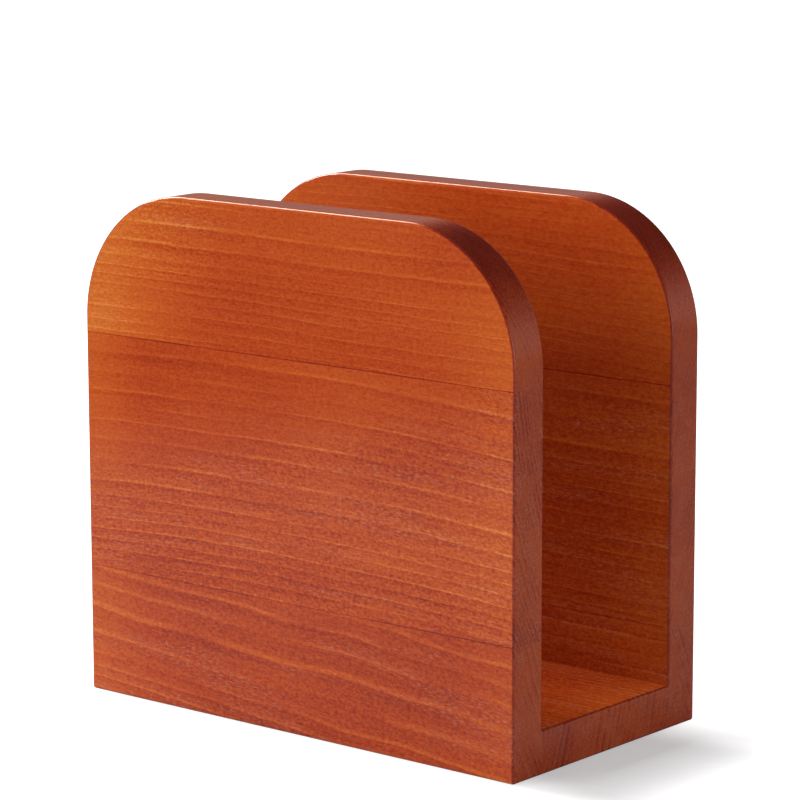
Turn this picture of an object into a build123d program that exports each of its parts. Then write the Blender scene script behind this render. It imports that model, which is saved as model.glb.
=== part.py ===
"""Napkin holder: two upright panels with rounded top corners, joined by a base board.

Each panel is edge-glued from three horizontal staves. The base board lies between the panels, flush
with them underneath and at both ends, and blind fluted dowels hold it to them.
Millimetres. +X runs along the panels, +Y from the front panel to the back one, +Z up. The origin is on
the underside, at the centre of the holder.
"""

from build123d import *
import os

# Boards
panel_width = 150.0
panel_height = 142.0
panel_thickness = 12.0
corner_radius = 36.0
base_thickness = 12.0
pocket_depth = 56.0  # clear space between the two panels
arris_radius = 0.8  # every edge that shows is eased

# Staves: the middle one has its full width, the outer two are trimmed to the panel's height
full_stave_width = 66.0
front_stave_drop = 2.0  # from the panel's mid height down to the middle of its full stave
back_stave_drop = 10.0

# Fluted dowels between the base board and the panels
dowel_diameter = 6.0
dowel_length = 24.0
dowel_end_chamfer = 0.7
dowel_count = 3
dowel_end_distance = 25.0  # from each end of the base board to the nearest dowel axis
dowel_hole_clearance = 0.05  # all round, filled by glue
dowel_hole_skin = 4.0  # wood left between a hole in a panel and the panel's outer face
glue_pocket = 1.0  # left beyond each end of a dowel
flute_count = 12
flute_radius = 0.35

# Worked out from the sizes above
holder_depth = pocket_depth + 2 * panel_thickness
panel_hole_depth = panel_thickness - dowel_hole_skin
dowel_length_in_panel = panel_hole_depth - glue_pocket
base_hole_depth = dowel_length - dowel_length_in_panel + glue_pocket
dowel_hole_radius = dowel_diameter / 2 + dowel_hole_clearance
dowel_height = base_thickness / 2
dowel_pitch = (panel_width - 2 * dowel_end_distance) / (dowel_count - 1)

# Upright planes that face forwards: the front panel's outer face, and the base board's two joints
front_outer_plane = Plane.XZ.offset(holder_depth / 2)
front_joint_plane = Plane.XZ.offset(pocket_depth / 2)
back_joint_plane = Plane.XZ.offset(-pocket_depth / 2)


def write(piece, name):
    """Labels a finished piece and writes it under its own name."""
    piece.label = name
    export_step(piece, f"parts/{name}.step")


def dowel_hole_row():
    """Draws the row of dowel holes on the sketch plane in use."""
    with Locations((0, dowel_height)):
        with GridLocations(dowel_pitch, 0, dowel_count, 1):
            Circle(dowel_hole_radius)


def panel_above_base():
    """The panel from the top of the base board up: two rounded corners, and eased round both faces."""
    with BuildPart() as upper:
        with BuildSketch(front_outer_plane) as outline:
            Rectangle(panel_width, panel_height, align=(Align.CENTER, Align.MIN))
            fillet(outline.vertices().group_by(Axis.Y)[-1], radius=corner_radius)
            Rectangle(
                panel_width,
                base_thickness,
                align=(Align.CENTER, Align.MIN),
                mode=Mode.SUBTRACT,
            )
        extrude(amount=-panel_thickness)
        outer_face = upper.faces().sort_by(Axis.Y)[0]
        inner_face = upper.faces().sort_by(Axis.Y)[-1]
        outer_edges = outer_face.edges().sort_by(Axis.Z)[1:]
        inner_edges = inner_face.edges().sort_by(Axis.Z)[1:]
        fillet(outer_edges + inner_edges, radius=arris_radius)
    return upper.part


def panel_beside_base():
    """The panel's foot, eased outside and underneath, and square where the base board meets it."""
    with BuildPart() as foot:
        with BuildSketch(front_outer_plane):
            Rectangle(panel_width, base_thickness, align=(Align.CENTER, Align.MIN))
        extrude(amount=-panel_thickness)
        outer_face = foot.faces().sort_by(Axis.Y)[0]
        outer_edges = outer_face.edges().sort_by(Axis.Z)[:-1]
        end_edges_below = foot.edges().filter_by(Axis.Y).group_by(Axis.Z)[0]
        fillet(outer_edges + end_edges_below, radius=arris_radius)
    return foot.part


def front_panel():
    """The whole front panel before it is divided into staves, with its blind dowel holes."""
    upper = panel_above_base()
    foot = panel_beside_base()
    with BuildPart() as panel:
        add(upper)
        add(foot)
        with BuildSketch(front_joint_plane):
            dowel_hole_row()
        extrude(amount=panel_hole_depth, mode=Mode.SUBTRACT)
    return panel.part


def write_staves(panel, stave_drop, side):
    """Divides a panel at its two seams and writes its three staves."""
    lower_seam = panel_height / 2 - stave_drop - full_stave_width / 2
    upper_seam = lower_seam + full_stave_width
    with BuildPart() as bottom_stave:
        add(panel)
        split(bisect_by=Plane.XY.offset(lower_seam), keep=Keep.BOTTOM)
    with BuildPart() as middle_stave:
        add(panel)
        split(bisect_by=Plane.XY.offset(lower_seam), keep=Keep.TOP)
        split(bisect_by=Plane.XY.offset(upper_seam), keep=Keep.BOTTOM)
    with BuildPart() as top_stave:
        add(panel)
        split(bisect_by=Plane.XY.offset(upper_seam), keep=Keep.TOP)
    write(bottom_stave.part, f"{side}_panel_bottom_stave")
    write(middle_stave.part, f"{side}_panel_middle_stave")
    write(top_stave.part, f"{side}_panel_top_stave")


def write_base_board():
    """The board between the panels, eased across its ends, with dowel holes in its long edges."""
    with BuildPart() as base:
        with BuildSketch(Plane.XY):
            Rectangle(panel_width, pocket_depth)
        extrude(amount=base_thickness)
        fillet(base.edges().filter_by(Axis.Y), radius=arris_radius)
        with BuildSketch(front_joint_plane):
            dowel_hole_row()
        extrude(amount=-base_hole_depth, mode=Mode.SUBTRACT)
        with BuildSketch(back_joint_plane):
            dowel_hole_row()
        extrude(amount=base_hole_depth, mode=Mode.SUBTRACT)
    write(base.part, "base_board")


def fluted_dowel(x):
    """One dowel of the front joint: its outer end is in the front panel, the rest in the base board."""
    outer_end_plane = Plane.XZ.offset(pocket_depth / 2 + dowel_length_in_panel)
    with BuildPart() as dowel:
        with BuildSketch(outer_end_plane):
            with Locations((x, dowel_height)):
                Circle(dowel_diameter / 2)
        extrude(amount=-dowel_length)
        chamfer(dowel.edges().filter_by(GeomType.CIRCLE), length=dowel_end_chamfer)
        with BuildSketch(outer_end_plane):
            with Locations((x, dowel_height)):
                with PolarLocations(dowel_diameter / 2, flute_count):
                    Circle(flute_radius)
        extrude(amount=-dowel_length, mode=Mode.SUBTRACT)
    return dowel.part


def write_dowels():
    """Both rows of dowels, numbered from the left. The back row mirrors the front one."""
    first_x = -(dowel_count - 1) * dowel_pitch / 2
    for number in range(dowel_count):
        dowel = fluted_dowel(first_x + number * dowel_pitch)
        write(dowel, f"front_dowel_{number + 1}")
        write(mirror(dowel, about=Plane.XZ), f"back_dowel_{number + 1}")


os.makedirs("parts", exist_ok=True)
whole_front_panel = front_panel()
write_staves(whole_front_panel, front_stave_drop, "front")
write_staves(mirror(whole_front_panel, about=Plane.XZ), back_stave_drop, "back")
write_base_board()
write_dowels()
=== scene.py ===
"""The looks of a wooden napkin holder: stained, satin-lacquered softwood boards in a plain studio.

Metres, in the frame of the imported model: +X along the panels, +Y from the front panel to the back one,
+Z up. Each board is modelled on the box of the CAD node that it stands for. Its wood is one solid
pattern of growth rings and fibres, worked out in millimetres, so that the faces, the edges and the end
grain belong together.
"""

import math
from collections import namedtuple
from functools import partial, reduce

import bmesh
import bpy
from mathutils import Matrix, Vector


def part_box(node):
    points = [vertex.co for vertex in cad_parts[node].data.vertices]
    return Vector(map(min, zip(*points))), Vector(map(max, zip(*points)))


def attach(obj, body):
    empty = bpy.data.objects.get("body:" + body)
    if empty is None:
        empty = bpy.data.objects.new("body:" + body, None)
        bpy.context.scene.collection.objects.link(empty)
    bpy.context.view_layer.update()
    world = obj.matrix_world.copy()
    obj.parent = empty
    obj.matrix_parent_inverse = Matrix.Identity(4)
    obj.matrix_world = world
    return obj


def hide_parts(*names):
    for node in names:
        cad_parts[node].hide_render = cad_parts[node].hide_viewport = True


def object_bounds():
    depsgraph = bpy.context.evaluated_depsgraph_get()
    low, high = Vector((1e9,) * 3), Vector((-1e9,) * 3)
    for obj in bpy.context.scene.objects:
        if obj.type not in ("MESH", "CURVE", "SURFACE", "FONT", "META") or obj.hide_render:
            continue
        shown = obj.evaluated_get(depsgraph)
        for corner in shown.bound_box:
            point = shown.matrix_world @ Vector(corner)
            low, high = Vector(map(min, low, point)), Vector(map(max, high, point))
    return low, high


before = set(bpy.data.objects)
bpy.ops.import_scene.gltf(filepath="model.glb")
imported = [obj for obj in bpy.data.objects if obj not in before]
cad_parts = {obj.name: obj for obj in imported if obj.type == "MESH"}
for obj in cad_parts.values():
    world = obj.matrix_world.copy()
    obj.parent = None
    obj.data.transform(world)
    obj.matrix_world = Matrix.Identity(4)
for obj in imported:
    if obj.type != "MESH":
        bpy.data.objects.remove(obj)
cad_low, cad_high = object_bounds()

MILLIMETRE = 0.001
WHITE = (1.0, 1.0, 1.0, 1.0)


# ---------------------------------------------------------------- boards

CORNER_RADIUS = 0.036
CORNER_SEGMENTS = 48
ARRIS_RADIUS = 0.0008
ARRIS_SEGMENTS = 5
SAME_PLACE = 0.00001  # places nearer to each other than this are one
SQUARELY = 0.999  # the least part of a face's normal that lies along Y where the face looks that way
ARRIS_TURN = math.radians(45)  # an edge between faces that turn by more than this is an arris
SHARP_TURN = math.radians(30)  # and an edge that turns by more than this is shaded as sharp
LARGE_FACES_FIRST = 100  # the weighted normals' highest weight for large faces


def same(place, other):
    """Whether two numbers stand for one place."""
    return abs(place - other) < SAME_PLACE


def board(low, high):
    """A square-edged board between two corners."""
    bm = bmesh.new()
    bmesh.ops.create_cube(bm, size=1.0)
    bmesh.ops.scale(bm, vec=high - low, verts=bm.verts)
    bmesh.ops.translate(bm, vec=(high + low) / 2, verts=bm.verts)
    return bm


def edges_through(bm):
    """The edges of a square-edged board that run from its front to its back."""
    return [edge for edge in bm.edges if not same(edge.verts[0].co.y, edge.verts[1].co.y)]


def side_of(face):
    """-1 or 1 where a face looks squarely to -Y or +Y, and otherwise 0."""
    return round(face.normal.y) if abs(face.normal.y) > SQUARELY else 0


def ease(bm, edges, radius, segments):
    """Rounds edges over."""
    bmesh.ops.bevel(
        bm,
        geom=edges,
        offset=radius,
        offset_type="OFFSET",
        segments=segments,
        profile=0.5,
        affect="EDGES",
        clamp_overlap=False,
        material=-1,
    )


def finish_board(bm, name, node, wood):
    """Makes the object of a finished board, which stands for its CAD node."""
    bmesh.ops.recalc_face_normals(bm, faces=bm.faces)
    for face in bm.faces:
        face.smooth = True
    for edge in bm.edges:
        edge.smooth = edge.calc_face_angle(0.0) < SHARP_TURN
    mesh = bpy.data.meshes.new(name)
    bm.to_mesh(mesh)
    bm.free()
    mesh.materials.append(wood)
    piece = bpy.data.objects.new(name, mesh)
    bpy.context.scene.collection.objects.link(piece)
    normals = piece.modifiers.new("flat_faces", "WEIGHTED_NORMAL")
    normals.weight = LARGE_FACES_FIRST
    normals.keep_sharp = True
    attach(piece, "root")
    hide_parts(node)
    return piece


def stave(name, node, outer_side, wood):
    """One stave of a panel. outer_side is -1 where the panel's outer face looks to -Y, and 1 for +Y."""
    low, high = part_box(node)
    is_top = same(high.z, cad_high.z)
    is_bottom = same(low.z, cad_low.z)
    base_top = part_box("base_board")[1].z
    bm = board(low, high)
    if is_top:
        corners = [edge for edge in edges_through(bm) if same(edge.verts[0].co.z, high.z)]
        ease(bm, corners, CORNER_RADIUS, CORNER_SEGMENTS)
    if is_bottom:
        geometry = bm.verts[:] + bm.edges[:] + bm.faces[:]
        bmesh.ops.bisect_plane(bm, geom=geometry, plane_co=(0, 0, base_top), plane_no=(0, 0, 1))
    arrises = stave_arrises(bm, low, high, is_top, is_bottom, outer_side, base_top)
    ease(bm, arrises, ARRIS_RADIUS, ARRIS_SEGMENTS)
    if is_bottom:
        end_square(bm, base_top)
    return finish_board(bm, name, node, wood)


def stave_arrises(bm, low, high, is_top, is_bottom, outer_side, base_top):
    """The edges of a stave that are eased.

    They run round both faces, and under the ends of a bottom stave. The edges at a seam and those that
    lie against the base board stay square.
    """
    found = []
    for edge in bm.edges:
        if len(edge.link_faces) != 2 or edge.calc_face_angle(0.0) < ARRIS_TURN:
            continue
        middle = (edge.verts[0].co + edge.verts[1].co) / 2
        sides = [side_of(face) for face in edge.link_faces]
        at_high = same(middle.z, high.z)
        at_low = same(middle.z, low.z)
        at_seam = (at_high and not is_top) or (at_low and not is_bottom)
        against_base = middle.z < base_top and -outer_side in sides
        off_both_faces = sides == [0, 0]
        under_an_end = is_bottom and at_low
        if at_seam or against_base or (off_both_faces and not under_an_end):
            continue
        found.append(edge)
    return found


def end_square(bm, base_top):
    """Ends the inner arrises in a flat ledge level with the base board's top, not in a taper below it."""
    for vert in bm.verts:
        if same(vert.co.z, base_top - ARRIS_RADIUS):
            vert.co.z = base_top


def base_board(name, node, wood):
    """The board between the panels, eased across its two ends."""
    low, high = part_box(node)
    bm = board(low, high)
    ease(bm, edges_through(bm), ARRIS_RADIUS, ARRIS_SEGMENTS)
    return finish_board(bm, name, node, wood)


# ---------------------------------------------------------------- shader nodes

# A colour Mix node's sockets, by their numbers
MIX_FACTOR = 0
MIX_BELOW = 6
MIX_ABOVE = 7
MIX_RESULT = 2

Spot = namedtuple("Spot", "x z radius strength")  # a round place, seen from the front


class Nodes:
    """A tree of shader nodes, with short ways to add and join them."""

    def __init__(self, tree):
        self.tree = tree
        self.tree.nodes.clear()

    def add(self, kind, **settings):
        """A new node with its settings."""
        node = self.tree.nodes.new(kind)
        for setting, value in settings.items():
            setattr(node, setting, value)
        return node

    def join(self, source, socket):
        """Joins a node's output to a socket, or sets the socket to a plain value."""
        if isinstance(source, bpy.types.NodeSocket):
            self.tree.links.new(source, socket)
        else:
            socket.default_value = source

    def math(self, operation, *values):
        """One sum or other operation on numbers."""
        node = self.add("ShaderNodeMath", operation=operation)
        for value, socket in zip(values, node.inputs):
            self.join(value, socket)
        return node.outputs[0]

    def total(self, *terms):
        """The sum of any number of terms."""
        return reduce(partial(self.math, "ADD"), terms)

    def product(self, *factors):
        """The product of any number of factors."""
        return reduce(partial(self.math, "MULTIPLY"), factors)

    def vector_math(self, operation, vector, constant):
        """The node of one operation on a vector and a constant one."""
        node = self.add("ShaderNodeVectorMath", operation=operation)
        self.join(vector, node.inputs[0])
        node.inputs[1].default_value = constant
        return node

    def stretch(self, vector, scale):
        """A vector with each axis multiplied by its own number."""
        return self.vector_math("MULTIPLY", vector, scale).outputs["Vector"]

    def shift(self, vector, distance):
        """A vector moved by another."""
        return self.vector_math("ADD", vector, distance).outputs["Vector"]

    def along(self, vector, direction):
        """How far a vector reaches in a direction."""
        return self.vector_math("DOT_PRODUCT", vector, direction).outputs["Value"]

    def split(self, vector):
        """The three parts of a vector."""
        node = self.add("ShaderNodeSeparateXYZ")
        self.join(vector, node.inputs[0])
        return node.outputs[0], node.outputs[1], node.outputs[2]

    def join_axes(self, *parts):
        """A vector made of three numbers."""
        node = self.add("ShaderNodeCombineXYZ")
        for part, socket in zip(parts, node.inputs):
            self.join(part, socket)
        return node.outputs[0]

    def noise(self, vector, waves, detail=0.0, roughness=0.5):
        """Noise from 0 to 1, with its own number of waves per millimetre along each axis."""
        node = self.add("ShaderNodeTexNoise")
        self.join(self.stretch(vector, waves), node.inputs["Vector"])
        node.inputs["Scale"].default_value = 1.0
        node.inputs["Detail"].default_value = detail
        node.inputs["Roughness"].default_value = roughness
        return node.outputs["Fac"]

    def line_noise(self, value):
        """Noise from 0 to 1 along a single number."""
        node = self.add("ShaderNodeTexNoise", noise_dimensions="1D")
        self.join(value, node.inputs["W"])
        node.inputs["Scale"].default_value = 1.0
        node.inputs["Detail"].default_value = 0.0
        return node.outputs["Fac"]

    def chance(self, value):
        """A random number from 0 to 1, which is the same for the same value."""
        node = self.add("ShaderNodeTexWhiteNoise", noise_dimensions="1D")
        self.join(value, node.inputs["W"])
        return node.outputs["Value"]

    def smooth_range(self, value, start, end, before, after):
        """One number up to the start and another from the end on, smooth between them."""
        node = self.add("ShaderNodeMapRange", interpolation_type="SMOOTHSTEP")
        self.join(value, node.inputs["Value"])
        node.inputs["From Min"].default_value = start
        node.inputs["From Max"].default_value = end
        self.join(before, node.inputs["To Min"])
        self.join(after, node.inputs["To Max"])
        return node.outputs["Result"]

    def fade(self, value, start, end):
        """0 at start and 1 at end, smooth between them. Start may be the larger."""
        if start < end:
            return self.smooth_range(value, start, end, 0.0, 1.0)
        return self.smooth_range(value, end, start, 1.0, 0.0)

    def reach(self, value, low, high):
        """Takes a value from 0 to 1 to a range, and holds a value beyond 0 or 1 at the range's end."""
        node = self.add("ShaderNodeMapRange")
        self.join(value, node.inputs["Value"])
        node.inputs["To Min"].default_value = low
        node.inputs["To Max"].default_value = high
        return node.outputs["Result"]

    def spread(self, value, width):
        """Takes noise from 0 to 1 to a range of this width about 0."""
        return self.reach(value, -width / 2, width / 2)

    def spot(self, x, z, spot):
        """A spot's strength at its middle, fading to 0 at its rim. It runs right through the board."""
        away = self.vector_math("DISTANCE", self.join_axes(x, 0.0, z), (spot.x, 0.0, spot.z))
        return self.product(self.fade(away.outputs["Value"], spot.radius, 0.0), spot.strength)

    def ramp(self, value, *stops):
        """A colour ramp through stops of (place, colour)."""
        node = self.add("ShaderNodeValToRGB")
        self.join(value, node.inputs["Fac"])
        elements = node.color_ramp.elements
        while len(elements) < len(stops):
            elements.new(0.5)
        for element, (place, colour) in zip(elements, stops):
            element.position = place
            element.color = (*colour, 1.0)
        return node.outputs["Color"]

    def profile(self, value, *stops):
        """A grey ramp through stops of (place, height)."""
        return self.ramp(value, *((place, (height,) * 3) for place, height in stops))

    def mix(self, factor, below, above):
        """Colour over colour."""
        node = self.add("ShaderNodeMix", data_type="RGBA")
        for source, number in ((factor, MIX_FACTOR), (below, MIX_BELOW), (above, MIX_ABOVE)):
            if isinstance(source, tuple):
                source = (*source, 1.0)
            self.join(source, node.inputs[number])
        return node.outputs[MIX_RESULT]

    def bump(self, height, distance, strength):
        """The normals of a surface with a fine relief of this depth in metres."""
        node = self.add("ShaderNodeBump")
        self.join(height, node.inputs["Height"])
        node.inputs["Distance"].default_value = distance
        node.inputs["Strength"].default_value = strength
        return node.outputs["Normal"]


class Finish(Nodes):
    """The nodes of one material, joined to its shader."""

    def __init__(self, name):
        self.material = bpy.data.materials.new(name)
        self.material.use_nodes = True
        super().__init__(self.material.node_tree)
        self.shader = self.add("ShaderNodeBsdfPrincipled")
        output = self.add("ShaderNodeOutputMaterial")
        self.join(self.shader.outputs["BSDF"], output.inputs["Surface"])

    def millimetres(self):
        """Places in the object, in millimetres."""
        coordinates = self.add("ShaderNodeTexCoord").outputs["Object"]
        return self.stretch(coordinates, (1 / MILLIMETRE,) * 3)


# ---------------------------------------------------------------- stained softwood

# The stain's colour, linear, from where the wood drank deep of it to where it was wiped thin
STAIN_COLOURS = (
    (0.00, (0.100, 0.007, 0.003)),
    (0.25, (0.275, 0.021, 0.005)),
    (0.50, (0.470, 0.061, 0.010)),
    (0.75, (0.600, 0.122, 0.018)),
    (1.00, (0.720, 0.230, 0.045)),
)
USUAL_STAIN = 0.53  # the place in STAIN_COLOURS of a plain part of a face

# How far each thing in the wood shifts the stain along STAIN_COLOURS
LATEWOOD_LINE = 0.21
EARLYWOOD_DIP = 0.10
PATCHES = 0.34
LONG_FIBRES = 0.16
SHORT_FIBRES = 0.20
SPECKLE = 0.84
THIN_AT_ENDS = 0.10
# partly deeper stain in the end grain, partly painted shade on the rounded corners
END_GRAIN_DIP = 0.36
SEAM_DIP = 0.34

# How fine each unevenness is, in waves per millimetre along the board, through it and up it
SLOW_BEND_WAVES = (0.010, 0.020, 0.020)
QUICK_BEND_WAVES = (0.04, 0.12, 0.12)
SHIVER_WAVES = (0.16, 0.40, 0.40)
PATCH_WAVES = (0.013, 0.030, 0.030)
LONG_FIBRE_WAVES = (0.022, 1.05, 1.05)
SHORT_FIBRE_WAVES = (0.28, 2.3, 2.3)
SPECKLE_WAVES = (0.80, 1.45, 1.45)
LINE_GAP_WAVES = (0.028, 0.22, 0.22)
STREAK_WAVES = (0.0, 0.10, 0.10)
SEAM_GAP_WAVES = (0.045, 0.0, 0.0)
FLECK_WAVES = (0.50, 3.0, 3.0)
FLECK_BAND_WAVES = (0.020, 0.19, 0.19)

# Between which values of its noise, from 0 to 1, a thing that comes and goes is absent and whole
LINE_GAP_FADE = (0.32, 0.62)
STREAK_FADE = (0.40, 0.60)
SEAM_GAP_FADE = (0.30, 0.60)
FLECK_FADE = (0.52, 0.72)
FLECK_BAND_FADE = (0.50, 0.64)

# Each board's own part of the noise lies this far from the last one's
NOISE_STEPS = (173.0, 91.0, 57.0)
RING_NOISE_STEP = 7.0

# Growth rings. Stops are (place across the ring, strength), both from 0 to 1.
SHIVER = 0.3  # how far the grain shivers, in millimetres
RING_UNEVENNESS = 1.6  # how far the rings stray from even spacing, in rings
RING_WAVES = 0.21  # how often that changes, in waves per ring
EARLYWOOD = ((0.0, 0.8), (0.08, 1.0), (0.38, 0.3), (0.75, 0.0), (0.97, 0.0), (1.0, 0.8))
LATEWOOD_END = ((0.96, 0.8), (1.0, 0.0))
FAINTEST_LINE = 0.5
FAINTEST_DIP = 0.3

# End grain, by how squarely the surface looks along the board, from 0 to 1. Stops are (that, share of
# END_GRAIN_DIP). The end grain drinks deeper, and painted shade makes the rounded corners darkest part
# way round, more than on the flat ends.
RAGGED_BORDER = 0.3
END_GRAIN_FADE = (0.10, 0.45)
END_GRAIN_DRINK_AND_SHADE = ((0.10, 0.0), (0.24, 0.75), (0.42, 1.0), (0.74, 1.0), (0.90, 0.65), (1.00, 0.35))
STREAKS = (-0.9, 1.0)  # the least and most that a streak adds to the earlywood's dip, as shares of it
FIGURE_ON_END_GRAIN = 0.5  # the strength of the latewood's lines and the speckle there

# In millimetres: how far from a board's middle the thinner stain of its ends starts and is in full,
# and how far from a seam its dark line starts and is in full
NEAR_END = (50.0, 76.0)
SEAM_FADE = (0.26, 0.05)
SEAM_AT_LEAST = 0.35  # of its full depth, where a seam's line comes and goes

# Open pores, and a painted sheen of pale flecks and glints where the lacquer would mirror the pale floor:
# none above one height at the board's middle, in millimetres, and in full below the other. Both heights
# rise to the right by the slope.
SHEEN_AND_PORES_NONE_ABOVE = 88.0
SHEEN_AND_PORES_FULL_BELOW = 70.0
SHEEN_AND_PORES_SLOPE = 0.22
FLECK_AND_GLINT_COLOUR = (0.600, 0.330, 0.230)
FLECK_AND_GLINT_STRENGTH = 0.20
FLECKS_OUTSIDE_SHEEN = 0.15

LACQUER_ROUGHNESS = 0.14
FIBRE_ROUGHNESS = 0.06
END_GRAIN_ROUGHNESS = 0.10
LACQUER_SPECULAR = 0.5
RELIEF_DEPTH = 0.00002  # metres
SPECKLE_RELIEF = 0.7
EARLYWOOD_RELIEF = -0.1
FLECK_RELIEF = -0.5


def own_part(finish, places, seed):
    """Moves places to a board's own part of the noise."""
    return finish.shift(places, tuple(seed * step for step in NOISE_STEPS))


def bent_height(finish, x, z, seeded, lean, crown, sway, ripple):
    """Heights in millimetres, bent as the grain bends away from the board's length."""
    slow = finish.noise(seeded, SLOW_BEND_WAVES)
    quick = finish.noise(seeded, QUICK_BEND_WAVES)
    shiver = finish.noise(seeded, SHIVER_WAVES)
    return finish.total(
        z,
        finish.product(x, lean),
        finish.product(x, x, crown),
        finish.spread(slow, sway),
        finish.spread(quick, ripple),
        finish.spread(shiver, SHIVER),
    )


def growth_rings(finish, seed, y, bent, pith, ring_width):
    """The place across the growth ring, from 0 to 1, and a chance number that is that ring's own."""
    side = finish.math("SUBTRACT", y, pith[0])
    rise = finish.math("SUBTRACT", bent, pith[1])
    radius = finish.math("SQRT", finish.total(finish.product(side, side), finish.product(rise, rise)))
    along = finish.math("MULTIPLY_ADD", radius, RING_WAVES / ring_width, seed * RING_NOISE_STEP)
    uneven = finish.spread(finish.line_noise(along), RING_UNEVENNESS)
    rings = finish.math("MULTIPLY_ADD", radius, 1.0 / ring_width, uneven)
    return finish.math("FRACT", rings), finish.chance(finish.math("FLOOR", rings))


def latewood_lines(finish, grain, across, chance, late_from, end_grain):
    """Light lines of thin stain, which come and go along the grain."""
    late_peak = (late_from + 1.0) / 2
    late = finish.profile(across, (0.0, 0.0), (late_from, 0.0), (late_peak, 1.0), *LATEWOOD_END)
    come_and_go = finish.fade(finish.noise(grain, LINE_GAP_WAVES, detail=1.0), *LINE_GAP_FADE)
    strength = finish.reach(end_grain, LATEWOOD_LINE, LATEWOOD_LINE * FIGURE_ON_END_GRAIN)
    return finish.product(come_and_go, finish.reach(chance, FAINTEST_LINE, 1.0), late, strength)


def earlywood_dips(finish, seeded, early, chance, end_grain):
    """Darker stripes of thick stain, which gather in streaks on the end grain."""
    clumps = finish.fade(finish.noise(seeded, STREAK_WAVES, detail=1.0), *STREAK_FADE)
    streaks = finish.product(end_grain, finish.reach(clumps, *STREAKS))
    depth = finish.reach(chance, 1.0, FAINTEST_DIP)
    return finish.product(early, depth, finish.total(1.0, streaks), -EARLYWOOD_DIP)


def end_grain_cover(finish, short_fibre):
    """How far a place is end grain, whose border on the arris is ragged, and how dark it is: it drinks
    deeper, with painted shade darkest part way round the rounded corners.
    """
    facing, _, _ = finish.split(finish.add("ShaderNodeTexCoord").outputs["Normal"])
    ragged = finish.total(finish.math("ABSOLUTE", facing), finish.spread(short_fibre, RAGGED_BORDER))
    return finish.fade(ragged, *END_GRAIN_FADE), finish.profile(ragged, *END_GRAIN_DRINK_AND_SHADE)


def pore_and_sheen_cover(finish, x, z, worn_and_glinting):
    """How open the wood's pores are and how strong the painted sheen of pale flecks and glints is, from 0 to
    1 or more: strong on the lower part of the faces and at the listed spots.
    """
    tilted = finish.math("MULTIPLY_ADD", x, -SHEEN_AND_PORES_SLOPE, z)
    cover = finish.fade(tilted, SHEEN_AND_PORES_NONE_ABOVE, SHEEN_AND_PORES_FULL_BELOW)
    for spot in worn_and_glinting:
        cover = finish.math("MAXIMUM", cover, finish.spot(x, z, spot))
    return cover


def seam_dips(finish, z, seeded, seams, on_face):
    """The dark line of each glued edge, which drinks more too, here and there, on the faces."""
    broken = finish.fade(finish.noise(seeded, SEAM_GAP_WAVES, detail=1.0), *SEAM_GAP_FADE)
    for seam in seams:
        near = finish.fade(finish.math("ABSOLUTE", finish.math("SUBTRACT", z, seam)), *SEAM_FADE)
        yield finish.product(near, on_face, finish.reach(broken, SEAM_AT_LEAST, 1.0), SEAM_DIP)


def pale_flecks_and_glints(finish, grain, pores_and_sheen):
    """Short pale flecks in bands along the grain: open pores, and painted glints where the painted sheen is
    strong.
    """
    fleck = finish.fade(finish.noise(grain, FLECK_WAVES), *FLECK_FADE)
    band = finish.fade(finish.noise(grain, FLECK_BAND_WAVES, detail=1.0), *FLECK_BAND_FADE)
    return finish.product(band, finish.reach(pores_and_sheen, FLECKS_OUTSIDE_SHEEN, 1.0), fleck)


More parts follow.
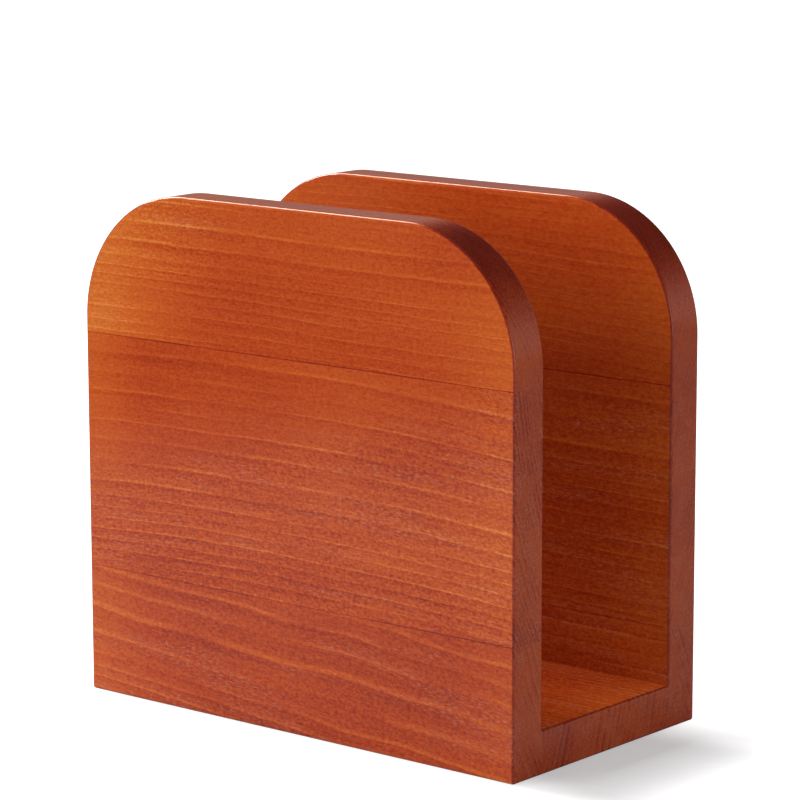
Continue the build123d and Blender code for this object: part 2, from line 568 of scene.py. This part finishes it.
def stained_softwood(
    name,
    seed,
    pith,
    ring_width,
    lean=0.0,
    crown=0.0,
    sway=2.5,
    ripple=0.8,
    late_from=0.82,
    seams=(),
    shift=0.0,
    marked=1.0,
    calm=0.65,
    wiped=(),
    worn_and_glinting=(),
):
    """Stained and lacquered softwood, as one solid pattern.

    pith is the tree's centre line as (y, z), ring_width the rings' spacing and seams the heights of the
    glued edges, all in millimetres. lean and crown slope and arch the grain along the board, sway is
    how far it wanders and ripple how far it waves in shorter waves. late_from is where in a ring its
    latewood starts, from 0 to 1.
    shift makes the faces of the whole board lighter, or darker where it is below 0. marked makes the
    figure plainer to see, and calm is how strong it stays outside the painted sheen of glints, as a share.
    wiped lists spots on the faces where the stain was wiped thinner, or left thicker where their
    strength is below 0, and worn lists spots where more pores are open and more painted glints show.
    """
    finish = Finish(name)
    place = finish.millimetres()
    x, y, z = finish.split(place)
    seeded = own_part(finish, place, seed)
    bent = bent_height(finish, x, z, seeded, lean, crown, sway, ripple)
    grain = own_part(finish, finish.join_axes(x, y, bent), seed)
    long_fibre = finish.noise(grain, LONG_FIBRE_WAVES, detail=1.0)
    short_fibre = finish.noise(grain, SHORT_FIBRE_WAVES, detail=1.0)
    speckle = finish.noise(grain, SPECKLE_WAVES, detail=3.0, roughness=0.75)
    patches = finish.noise(seeded, PATCH_WAVES, detail=1.0)
    across, chance = growth_rings(finish, seed, y, bent, pith, ring_width)
    early = finish.profile(across, *EARLYWOOD)
    end_grain, drink_and_shade = end_grain_cover(finish, short_fibre)
    on_face = finish.math("SUBTRACT", 1.0, end_grain)
    pores_and_sheen = pore_and_sheen_cover(finish, x, z, worn_and_glinting)

    # How thin the stain lies, with painted shade on the rounded corners and painted glints in the figure
    figure = finish.total(
        latewood_lines(finish, grain, across, chance, late_from, end_grain),
        earlywood_dips(finish, seeded, early, chance, end_grain),
        finish.spread(long_fibre, LONG_FIBRES),
        finish.spread(short_fibre, SHORT_FIBRES),
        finish.product(finish.spread(speckle, SPECKLE), finish.reach(end_grain, 1.0, FIGURE_ON_END_GRAIN)),
    )
    wipe = finish.total(shift, *(finish.spot(x, z, spot) for spot in wiped))
    near_end = finish.fade(finish.math("ABSOLUTE", x), *NEAR_END)
    thin = finish.total(
        USUAL_STAIN,
        finish.product(on_face, wipe),
        finish.product(near_end, THIN_AT_ENDS),
        # the end grain's deeper stain, with painted shade on the rounded corners
        finish.product(drink_and_shade, -END_GRAIN_DIP),
        finish.spread(patches, PATCHES),
        # the figure is stronger under the painted sheen, where it stands in for glints
        finish.product(figure, finish.reach(pores_and_sheen, calm * marked, marked)),
    )
    for dip in seam_dips(finish, z, seeded, seams, on_face):
        thin = finish.math("SUBTRACT", thin, dip)

    # painted glints: the pale flecks show mostly under the painted sheen of the lower faces
    fleck = pale_flecks_and_glints(finish, grain, pores_and_sheen)
    stain = finish.ramp(thin, *STAIN_COLOURS)
    colour = finish.mix(finish.product(fleck, FLECK_AND_GLINT_STRENGTH), stain, FLECK_AND_GLINT_COLOUR)
    finish.join(colour, finish.shader.inputs["Base Color"])
    roughness = finish.total(
        LACQUER_ROUGHNESS,
        finish.spread(short_fibre, FIBRE_ROUGHNESS),
        finish.product(end_grain, END_GRAIN_ROUGHNESS),
    )
    finish.join(roughness, finish.shader.inputs["Roughness"])
    relief = finish.total(
        short_fibre,
        finish.product(speckle, SPECKLE_RELIEF),
        finish.product(early, EARLYWOOD_RELIEF),
        finish.product(fleck, FLECK_RELIEF),
    )
    finish.join(finish.bump(relief, RELIEF_DEPTH, 1.0), finish.shader.inputs["Normal"])
    finish.shader.inputs["Specular IOR Level"].default_value = LACQUER_SPECULAR
    return finish.material


# ---------------------------------------------------------------- raw beech

BEECH_LIGHT = (0.640, 0.430, 0.240)
BEECH_DARK = (0.480, 0.290, 0.150)
BEECH_FIBRE_WAVES = (3.0, 0.12, 3.0)
BEECH_FIBRE_FADE = (0.25, 0.75)
BEECH_FLECK_WAVES = (3.5, 0.9, 3.5)
BEECH_FLECK_FADE = (0.60, 0.72)
BEECH_FLECK_STRENGTH = 0.5
BEECH_ROUGHNESS = 0.7
BEECH_RELIEF_DEPTH = 0.00005  # metres
BEECH_RELIEF_STRENGTH = 0.5


def raw_beech(name):
    """Unfinished beech, with its grain along Y and short dark flecks."""
    finish = Finish(name)
    place = finish.millimetres()
    fibre = finish.noise(place, BEECH_FIBRE_WAVES, detail=3.0, roughness=0.6)
    fleck = finish.fade(finish.noise(place, BEECH_FLECK_WAVES, detail=1.0), *BEECH_FLECK_FADE)
    wood = finish.mix(finish.fade(fibre, *BEECH_FIBRE_FADE), BEECH_DARK, BEECH_LIGHT)
    colour = finish.mix(finish.product(fleck, BEECH_FLECK_STRENGTH), wood, BEECH_DARK)
    finish.join(colour, finish.shader.inputs["Base Color"])
    relief = finish.bump(fibre, BEECH_RELIEF_DEPTH, BEECH_RELIEF_STRENGTH)
    finish.join(relief, finish.shader.inputs["Normal"])
    finish.shader.inputs["Roughness"].default_value = BEECH_ROUGHNESS
    return finish.material


# ---------------------------------------------------------------- the holder


def seam_heights(node):
    """The heights of a node's lower and upper edges, in millimetres."""
    low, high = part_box(node)
    return low.z / MILLIMETRE, high.z / MILLIMETRE


front_seams = seam_heights("front_panel_middle_stave")
back_seams = seam_heights("back_panel_middle_stave")

front_top_wood = stained_softwood(
    "front_top_wood",
    seed=1,
    pith=(290.0, 235.0),
    ring_width=1.1,
    lean=0.006,
    seams=front_seams[1:],
    shift=0.01,
    marked=1.3,
    wiped=(Spot(x=-66.0, z=120.0, radius=52.0, strength=0.25),),
    # a spot of wear with more open pores and painted glints
    worn_and_glinting=(Spot(x=-42.0, z=134.0, radius=26.0, strength=1.3),),
)
front_middle_wood = stained_softwood(
    "front_middle_wood",
    seed=2,
    pith=(142.0, 132.0),
    ring_width=1.4,
    lean=0.0072,
    crown=0.00045,
    seams=front_seams,
    shift=-0.03,
    marked=1.5,
    calm=0.52,
    wiped=(
        Spot(x=-8.0, z=83.0, radius=32.0, strength=-0.08),
        Spot(x=-76.0, z=106.0, radius=36.0, strength=0.14),
    ),
    # a spot of wear with more open pores and painted glints
    worn_and_glinting=(Spot(x=72.0, z=97.0, radius=16.0, strength=1.3),),
)
front_bottom_wood = stained_softwood(
    "front_bottom_wood",
    seed=3,
    pith=(130.0, 95.0),
    ring_width=2.2,
    lean=0.083,
    sway=5.0,
    ripple=2.2,
    late_from=0.72,
    seams=front_seams[:1],
    shift=-0.10,
    marked=1.1,
    wiped=(Spot(x=-80.0, z=22.0, radius=60.0, strength=0.08),),
)
back_top_wood = stained_softwood(
    "back_top_wood",
    seed=4,
    pith=(-210.0, 250.0),
    ring_width=1.3,
    lean=0.01,
    crown=0.0002,
    seams=back_seams[1:],
)
back_middle_wood = stained_softwood(
    "back_middle_wood",
    seed=5,
    pith=(-120.0, 120.0),
    ring_width=1.5,
    lean=-0.02,
    crown=0.0004,
    seams=back_seams,
)
back_bottom_wood = stained_softwood(
    "back_bottom_wood",
    seed=6,
    pith=(-150.0, -60.0),
    ring_width=2.0,
    lean=0.03,
    seams=back_seams[:1],
)
base_wood = stained_softwood(
    "base_wood",
    seed=7,
    pith=(-150.0, 46.0),
    ring_width=2.3,
    shift=-0.03,
    marked=1.4,
)

pieces = [
    stave("front_top_stave", "front_panel_top_stave", -1, front_top_wood),
    stave("front_middle_stave", "front_panel_middle_stave", -1, front_middle_wood),
    stave("front_bottom_stave", "front_panel_bottom_stave", -1, front_bottom_wood),
    stave("back_top_stave", "back_panel_top_stave", 1, back_top_wood),
    stave("back_middle_stave", "back_panel_middle_stave", 1, back_middle_wood),
    stave("back_bottom_stave", "back_panel_bottom_stave", 1, back_bottom_wood),
]
base_board("base", "base_board", base_wood)

beech = raw_beech("beech")
for name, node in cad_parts.items():
    if "dowel" in name:
        node.data.materials.clear()
        node.data.materials.append(beech)


# ---------------------------------------------------------------- studio

FOCAL_LENGTH = 158.5  # millimetres, as the sensor's width is
SENSOR_WIDTH = 36.0
NEAREST_SEEN = 0.01
CAMERA_PLACE = (0.6050, -0.7248, 0.2617)
CAMERA_AZIMUTH = 39.64  # degrees, as are the two below
CAMERA_DOWN = 10.57
CAMERA_ROLL = -0.11

FLOOR_REACH = 3.0
FLOOR_ROUGHNESS = 0.9
FLOOR_SPECULAR = 0.1
SHEET_SIDE = (0.772, 0.636, 0.0)  # square to the edge of the pale sheet on the floor
SHEET_EDGE = -0.455
SHEET_FADE = 0.05
SHEET_WHITE = (0.45, 0.45, 0.45)
BARE_FLOOR = (0.05, 0.05, 0.05)
# Painted shadow: the floor's white to the camera is lowered in this box and fades in beyond it, so the
# lamps' shadow shows only here
SHADOW_LOW = (-0.060, -0.024)  # corners of the part of the floor that keeps its shadow
SHADOW_HIGH = (0.093, 0.014)
SHADOW_FADE = 0.032  # how far beyond that part the floor turns white
SHADOW_LIFT = 0.37  # how much white there is in the shadow itself

# The room round the holder. Its light and greys are strengths, from 0, black, to 1, white.
ROOM_LIGHT = 0.35  # on the surfaces; the rest is for reflections only
WALL_SIDE = (0.53, 0.85, 0.0)  # towards the palest part of the wall
WALL_FADE = (0.20, 1.00)  # how nearly a reflection looks that way where the wall is darkest and palest
WALL_GREYS = (0.17, 0.52)
CEILING_FADE = (0.15, 0.50)  # how far up it looks where the wall starts to end and the ceiling is whole
CEILING_GREY = 0.02

EDGE_LIGHT_COLOUR = (1.0, 0.78, 0.62)


def add_camera():
    """The camera at the photograph's viewing angle."""
    data = bpy.data.cameras.new("camera")
    data.lens = FOCAL_LENGTH
    data.sensor_width = SENSOR_WIDTH
    data.clip_start = NEAREST_SEEN
    camera = bpy.data.objects.new("camera", data)
    bpy.context.scene.collection.objects.link(camera)
    turn = Matrix.Rotation(math.radians(CAMERA_AZIMUTH), 4, "Z")
    tilt = Matrix.Rotation(math.radians(90.0 - CAMERA_DOWN), 4, "X")
    roll = Matrix.Rotation(math.radians(CAMERA_ROLL), 4, "Z")
    camera.matrix_world = Matrix.Translation(CAMERA_PLACE) @ turn @ tilt @ roll
    bpy.context.scene.camera = camera


def soft_box(name, towards, distance, size, power):
    """A square soft box in a direction seen from the holder, turned to face it."""
    data = bpy.data.lights.new(name, "AREA")
    data.shape = "SQUARE"
    data.size = size
    data.energy = power
    light = bpy.data.objects.new(name, data)
    bpy.context.scene.collection.objects.link(light)
    centre = (cad_low + cad_high) / 2
    facing = Vector(towards).normalized()
    light.location = centre + facing * distance
    light.rotation_euler = facing.to_track_quat("Z", "Y").to_euler()
    return light


def beyond(finish, place, low, high):
    """How far a number lies outside a range, or 0 inside it."""
    nearest = finish.math("MINIMUM", finish.math("MAXIMUM", place, low), high)
    return finish.math("SUBTRACT", place, nearest)


def floor_paint():
    """Paint that is white to the camera, apart from a painted shadow near the holder's right end, where less
    white lets the lamps' shadow show.

    To everything else it is a pale sheet, which ends to the left of the holder, on a dimmer floor.
    """
    finish = Finish("floor_paint")
    place = finish.add("ShaderNodeTexCoord").outputs["Object"]
    on_sheet = finish.fade(finish.along(place, SHEET_SIDE), SHEET_EDGE, SHEET_EDGE + SHEET_FADE)
    finish.join(finish.mix(on_sheet, BARE_FLOOR, SHEET_WHITE), finish.shader.inputs["Base Color"])
    finish.shader.inputs["Roughness"].default_value = FLOOR_ROUGHNESS
    finish.shader.inputs["Specular IOR Level"].default_value = FLOOR_SPECULAR
    x, y, _ = finish.split(place)
    sideways = beyond(finish, x, SHADOW_LOW[0], SHADOW_HIGH[0])
    lengthways = beyond(finish, y, SHADOW_LOW[1], SHADOW_HIGH[1])
    away = finish.add("ShaderNodeVectorMath", operation="LENGTH")
    finish.join(finish.join_axes(sideways, lengthways, 0.0), away.inputs[0])
    # painted shadow: less white over the box, fading out beyond it
    whiteness = finish.reach(finish.fade(away.outputs["Value"], 0.0, SHADOW_FADE), SHADOW_LIFT, 1.0)
    seen = finish.add("ShaderNodeLightPath").outputs["Is Camera Ray"]
    finish.shader.inputs["Emission Color"].default_value = WHITE
    finish.join(finish.product(seen, whiteness), finish.shader.inputs["Emission Strength"])
    return finish.material


def add_floor():
    """The plain floor that the holder stands on."""
    bm = bmesh.new()
    bmesh.ops.create_grid(bm, x_segments=1, y_segments=1, size=FLOOR_REACH)
    mesh = bpy.data.meshes.new("floor")
    bm.to_mesh(mesh)
    bm.free()
    floor = bpy.data.objects.new("floor", mesh)
    bpy.context.scene.collection.objects.link(floor)
    mesh.materials.append(floor_paint())


def add_world():
    """A plain surround: white where the camera sees it, and a dim room in what it lights and reflects."""
    world = bpy.data.worlds.new("surround")
    bpy.context.scene.world = world
    world.use_nodes = True
    surround = Nodes(world.node_tree)
    looking = surround.add("ShaderNodeTexCoord").outputs["Generated"]
    wall = surround.smooth_range(surround.along(looking, WALL_SIDE), *WALL_FADE, *WALL_GREYS)
    _, _, upwards = surround.split(looking)
    reflected = surround.smooth_range(upwards, *CEILING_FADE, wall, CEILING_GREY)
    path = surround.add("ShaderNodeLightPath")
    room = surround.add("ShaderNodeMix")
    room.inputs["A"].default_value = ROOM_LIGHT
    surround.join(path.outputs["Is Glossy Ray"], room.inputs["Factor"])
    surround.join(reflected, room.inputs["B"])
    strength = surround.math("MAXIMUM", path.outputs["Is Camera Ray"], room.outputs["Result"])
    background = surround.add("ShaderNodeBackground")
    background.inputs["Color"].default_value = WHITE
    surround.join(strength, background.inputs["Strength"])
    output = surround.add("ShaderNodeOutputWorld")
    surround.join(background.outputs["Background"], output.inputs["Surface"])


def add_lamps():
    """The soft boxes: for the front, for the top, for the line of light on the top arris and for the end."""
    key_light = soft_box("key_light", towards=(-0.50, -0.80, 0.32), distance=1.4, size=0.9, power=13.7)
    key_light.visible_glossy = False  # it lights the wood, but isn't mirrored in the lacquer
    soft_box("top_left_light", towards=(-0.80, -0.05, 0.60), distance=1.2, size=0.4, power=11.0)
    edge_light = soft_box("edge_light", towards=(-0.63, 0.35, 0.70), distance=1.25, size=0.45, power=8.8)
    edge_light.data.color = EDGE_LIGHT_COLOUR
    edge_light.visible_diffuse = False  # it is only mirrored
    soft_box("right_light", towards=(0.90, -0.30, 0.12), distance=1.2, size=0.6, power=2.4)


add_camera()
add_world()
add_floor()
add_lamps()

bpy.context.scene.view_settings.view_transform = "Standard"
